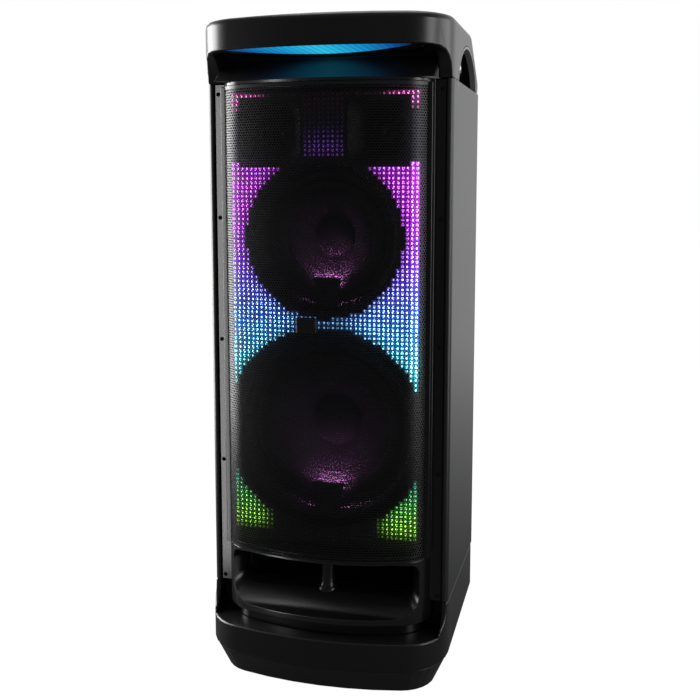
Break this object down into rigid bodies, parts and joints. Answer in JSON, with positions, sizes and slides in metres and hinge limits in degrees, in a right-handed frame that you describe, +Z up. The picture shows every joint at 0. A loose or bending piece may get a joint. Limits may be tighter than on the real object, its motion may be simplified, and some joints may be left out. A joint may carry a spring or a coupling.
{
  "type": "party speaker",
  "caption": "Tall floor-standing party speaker with a carrying bar, curved grille over lit panels, two woofers, two horns, a bass port slot and rear wheels.",
  "frame": {"origin": "centre of the footprint, on the floor", "axes": "+Z up, front faces -Y, +X to the right as seen from the front"},
  "size_m": [0.37, 0.344, 0.98],
  "materials": {
    "satin_panel": "satin dark grey",
    "satin_black": "satin black",
    "grip_plastic": "satin grey",
    "gloss_black": "gloss black",
    "knob_plastic": "satin black",
    "button_plastic": "soft touch",
    "light_diffuser": "lit acrylic",
    "light_panel": "black panel with light dots",
    "grille_metal": "black powder coat",
    "trim_plastic": "satin black",
    "rear_plastic": "fine texture black",
    "fibre_board": "bare fibre board",
    "pad_rubber": "matt rubber",
    "wheel_rubber": "hard rubber",
    "axle_steel": "plain steel",
    "basket_metal": "pressed steel, black",
    "magnet_metal": "ferrite and steel",
    "cone_paper": "coated cone",
    "surround_rubber": "moulded rubber",
    "spider_cloth": "corrugated cloth",
    "jack_metal": "nickel plated",
    "sink_aluminium": "extruded",
    "circuit_board": "solder mask",
    "battery_wrap": "shrink sleeve"
  },
  "bodies": {
    "cabinet": {"side_panel_left": "satin_panel", "side_panel_right": "satin_panel", "side_grip_left": "grip_plastic", "side_grip_right": "grip_plastic", "top_cap": "satin_black", "handle_recess": "satin_black", "handle_light": "light_diffuser", "control_panel": "gloss_black", "base_bumper": "satin_black", "base_foot": "satin_black", "foot_pad_front": "pad_rubber", "foot_pad_rear": "pad_rubber", "wheel_axle": "axle_steel", "top_board": "fibre_board", "bottom_board": "fibre_board", "front_baffle": "fibre_board", "rear_panel": "rear_plastic", "front_housing": "satin_black", "port_duct": "rear_plastic", "port_pillar": "satin_black", "grille": "grille_metal", "led_panel_upper": "light_panel", "led_panel_lower": "light_panel", "woofer_upper_frame": "basket_metal", "woofer_upper_magnet": "magnet_metal", "woofer_upper_surround": "surround_rubber", "woofer_upper_spider": "spider_cloth", "woofer_upper_ring": "trim_plastic", "woofer_lower_frame": "basket_metal", "woofer_lower_magnet": "magnet_metal", "woofer_lower_surround": "surround_rubber", "woofer_lower_spider": "spider_cloth", "woofer_lower_ring": "trim_plastic", "tweeter_left_horn": "trim_plastic", "tweeter_right_horn": "trim_plastic", "tweeter_left_driver": "magnet_metal", "tweeter_right_driver": "magnet_metal", "input_panel": "rear_plastic", "jack_microphone_1": "jack_metal", "jack_microphone_2": "jack_metal", "jack_line_in": "jack_metal", "usb_socket": "jack_metal", "power_inlet": "rear_plastic", "heat_sink": "sink_aluminium", "amplifier_board": "circuit_board", "battery_pack": "battery_wrap"},
    "upper_cone": {"woofer_upper_cone": "cone_paper"},
    "lower_cone": {"woofer_lower_cone": "cone_paper"},
    "volume_knob": {"volume_knob": "knob_plastic"},
    "button_power": {"button_power": "button_plastic"},
    "button_source": {"button_source": "button_plastic"},
    "button_light": {"button_light": "button_plastic"},
    "button_bass": {"button_bass": "button_plastic"},
    "button_play": {"button_play": "button_plastic"},
    "button_pairing": {"button_pairing": "button_plastic"},
    "wheel_left": {"wheel_left": "wheel_rubber"},
    "wheel_right": {"wheel_right": "wheel_rubber"},
    "microphone_knob": {"microphone_knob": "knob_plastic"},
    "echo_knob": {"echo_knob": "knob_plastic"},
    "power_switch": {"power_switch": "rear_plastic"}
  },
  "joints": [
    {"name": "upper_cone_stroke", "type": "slide", "parent": "cabinet", "child": "upper_cone", "axis": [0, -1, 0], "range_m": [-0.004, 0.004], "stiffness_N_per_m": 2500},
    {"name": "lower_cone_stroke", "type": "slide", "parent": "cabinet", "child": "lower_cone", "axis": [0, -1, 0], "range_m": [-0.005, 0.005], "stiffness_N_per_m": 2500},
    {"name": "volume_turn", "type": "hinge", "parent": "cabinet", "child": "volume_knob", "pos_m": [0, -0.02064, 0.9694], "axis": [0, 0, 1], "continuous": true},
    {"name": "power_press", "type": "slide", "parent": "cabinet", "child": "button_power", "axis": [0, 0, -1], "range_m": [0, 0.001], "stiffness_N_per_m": 1500},
    {"name": "source_press", "type": "slide", "parent": "cabinet", "child": "button_source", "axis": [0, 0, -1], "range_m": [0, 0.001], "stiffness_N_per_m": 1500},
    {"name": "light_press", "type": "slide", "parent": "cabinet", "child": "button_light", "axis": [0, 0, -1], "range_m": [0, 0.001], "stiffness_N_per_m": 1500},
    {"name": "bass_press", "type": "slide", "parent": "cabinet", "child": "button_bass", "axis": [0, 0, -1], "range_m": [0, 0.001], "stiffness_N_per_m": 1500},
    {"name": "play_press", "type": "slide", "parent": "cabinet", "child": "button_play", "axis": [0, 0, -1], "range_m": [0, 0.001], "stiffness_N_per_m": 1500},
    {"name": "pairing_press", "type": "slide", "parent": "cabinet", "child": "button_pairing", "axis": [0, 0, -1], "range_m": [0, 0.001], "stiffness_N_per_m": 1500},
    {"name": "wheel_left_spin", "type": "hinge", "parent": "cabinet", "child": "wheel_left", "pos_m": [-0.1147, 0.134, 0.037], "axis": [1, 0, 0], "continuous": true},
    {"name": "wheel_right_spin", "type": "hinge", "parent": "cabinet", "child": "wheel_right", "pos_m": [0.1147, 0.134, 0.037], "axis": [1, 0, 0], "continuous": true},
    {"name": "microphone_turn", "type": "hinge", "parent": "cabinet", "child": "microphone_knob", "pos_m": [-0.028, 0.1516, 0.6581], "axis": [0, 1, 0], "range_deg": [-150, 150]},
    {"name": "echo_turn", "type": "hinge", "parent": "cabinet", "child": "echo_knob", "pos_m": [0.028, 0.1516, 0.6581], "axis": [0, 1, 0], "range_deg": [-150, 150]},
    {"name": "power_rock", "type": "hinge", "parent": "cabinet", "child": "power_switch", "pos_m": [0.006, 0.1522, 0.5941], "axis": [1, 0, 0], "range_deg": [-18, 0]}
  ]
}
